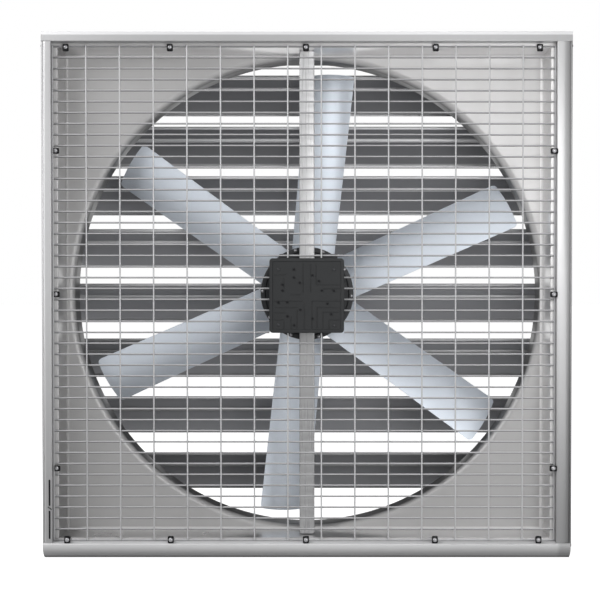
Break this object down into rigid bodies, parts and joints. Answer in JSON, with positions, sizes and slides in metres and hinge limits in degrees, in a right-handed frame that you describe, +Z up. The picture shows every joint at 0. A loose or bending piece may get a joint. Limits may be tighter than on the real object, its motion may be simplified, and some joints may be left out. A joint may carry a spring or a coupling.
{
  "type": "wall exhaust fan",
  "caption": "Square wall exhaust fan: sheet-metal box with a bell-mouth inlet, wire guard, motor on a post, direct-drive rotor with pitched blades, and a louvre shutter at the outlet.",
  "frame": {"origin": "middle of the underside of the housing", "axes": "+Z up, -Y towards the room and the wire guard, +Y towards the outlet and the shutter, +X to the right as seen from the room"},
  "size_m": [1.3886, 0.5022, 1.376],
  "materials": {
    "galvanised_sheet": "satin",
    "zinc_wire": "satin",
    "blade_sheet_metal": "satin",
    "shutter_sheet_metal": "satin",
    "black_plastic": "matte",
    "black_enamel": "satin",
    "bright_steel": "bright",
    "core_iron": "matte",
    "winding_copper": "satin",
    "board_green": "matte",
    "dark_bolt": "satin",
    "cast_hub": "matte"
  },
  "bodies": {
    "frame": {"housing_top_panel": "galvanised_sheet", "housing_bottom_panel": "galvanised_sheet", "housing_left_panel": "galvanised_sheet", "housing_right_panel": "galvanised_sheet", "side_bolt_1": "dark_bolt", "side_bolt_2": "dark_bolt", "side_bolt_3": "dark_bolt", "side_bolt_4": "dark_bolt", "guard_frame": "galvanised_sheet", "venturi_panel": "galvanised_sheet", "wire_guard": "zinc_wire", "guard_clip_01": "black_plastic", "guard_clip_02": "black_plastic", "guard_clip_03": "black_plastic", "guard_clip_04": "black_plastic", "guard_clip_05": "black_plastic", "guard_clip_06": "black_plastic", "guard_clip_07": "black_plastic", "guard_clip_08": "black_plastic", "guard_clip_09": "black_plastic", "guard_clip_10": "black_plastic", "guard_clip_11": "black_plastic", "guard_clip_12": "black_plastic", "guard_clip_13": "black_plastic", "guard_clip_14": "black_plastic", "guard_clip_15": "black_plastic", "guard_clip_16": "black_plastic", "motor_post": "galvanised_sheet", "post_bracket_top": "galvanised_sheet", "post_bracket_bottom": "galvanised_sheet", "controller_cover": "black_plastic", "controller_base": "black_plastic", "controller_board": "board_green", "controller_plate": "black_enamel", "motor_end_shield": "black_enamel", "motor_casing": "black_enamel", "motor_stator": "winding_copper", "motor_bearing_front": "bright_steel", "motor_bearing_rear": "bright_steel", "shutter_rail_left": "galvanised_sheet", "shutter_rail_right": "galvanised_sheet"},
    "rotor": {"fan_hub": "cast_hub", "fan_blade_1": "blade_sheet_metal", "fan_blade_2": "blade_sheet_metal", "fan_blade_3": "blade_sheet_metal", "fan_blade_4": "blade_sheet_metal", "fan_blade_5": "blade_sheet_metal", "fan_blade_6": "blade_sheet_metal", "motor_shaft": "bright_steel", "motor_rotor_core": "core_iron", "shaft_nut": "bright_steel"},
    "shutter_1": {"shutter_blade_1": "shutter_sheet_metal"},
    "shutter_2": {"shutter_blade_2": "shutter_sheet_metal"},
    "shutter_3": {"shutter_blade_3": "shutter_sheet_metal"},
    "shutter_4": {"shutter_blade_4": "shutter_sheet_metal"},
    "shutter_5": {"shutter_blade_5": "shutter_sheet_metal"},
    "shutter_6": {"shutter_blade_6": "shutter_sheet_metal"},
    "shutter_7": {"shutter_blade_7": "shutter_sheet_metal"},
    "shutter_8": {"shutter_blade_8": "shutter_sheet_metal"},
    "tie_bar": {"shutter_tie_bar": "galvanised_sheet"}
  },
  "joints": [
    {"name": "rotor_spin", "type": "hinge", "parent": "frame", "child": "rotor", "pos_m": [0, -0.011, 0.688], "axis": [0, 1, 0], "continuous": true},
    {"name": "shutter_1_turn", "type": "hinge", "parent": "frame", "child": "shutter_1", "pos_m": [0, 0.152, 1.2805], "axis": [1, 0, 0], "range_deg": [-39.75, 29]},
    {"name": "shutter_2_turn", "type": "hinge", "parent": "frame", "child": "shutter_2", "pos_m": [0, 0.152, 1.1323], "axis": [1, 0, 0], "range_deg": [-39.75, 29]},
    {"name": "shutter_3_turn", "type": "hinge", "parent": "frame", "child": "shutter_3", "pos_m": [0, 0.152, 0.98881], "axis": [1, 0, 0], "range_deg": [-39.75, 29]},
    {"name": "shutter_4_turn", "type": "hinge", "parent": "frame", "child": "shutter_4", "pos_m": [0, 0.152, 0.8349], "axis": [1, 0, 0], "range_deg": [-39.75, 29]},
    {"name": "shutter_5_turn", "type": "hinge", "parent": "frame", "child": "shutter_5", "pos_m": [0, 0.152, 0.67649], "axis": [1, 0, 0], "range_deg": [-39.75, 29]},
    {"name": "shutter_6_turn", "type": "hinge", "parent": "frame", "child": "shutter_6", "pos_m": [0, 0.152, 0.51644], "axis": [1, 0, 0], "range_deg": [-39.75, 29]},
    {"name": "shutter_7_turn", "type": "hinge", "parent": "frame", "child": "shutter_7", "pos_m": [0, 0.152, 0.34772], "axis": [1, 0, 0], "range_deg": [-39.75, 29]},
    {"name": "shutter_8_turn", "type": "hinge", "parent": "frame", "child": "shutter_8", "pos_m": [0, 0.152, 0.1835], "axis": [1, 0, 0], "range_deg": [-39.75, 29]},
    {"name": "tie_bar_turn", "type": "hinge", "parent": "shutter_1", "child": "tie_bar", "pos_m": [0, 0.2712, 1.21712], "axis": [1, 0, 0], "range_deg": [-29, 39.75]}
  ],
  "couplings": [
    {"joint": "shutter_2_turn", "follows": "shutter_1_turn", "ratio": 1},
    {"joint": "shutter_3_turn", "follows": "shutter_1_turn", "ratio": 1},
    {"joint": "shutter_4_turn", "follows": "shutter_1_turn", "ratio": 1},
    {"joint": "shutter_5_turn", "follows": "shutter_1_turn", "ratio": 1},
    {"joint": "shutter_6_turn", "follows": "shutter_1_turn", "ratio": 1},
    {"joint": "shutter_7_turn", "follows": "shutter_1_turn", "ratio": 1},
    {"joint": "shutter_8_turn", "follows": "shutter_1_turn", "ratio": 1},
    {"joint": "tie_bar_turn", "follows": "shutter_1_turn", "ratio": -1}
  ]
}
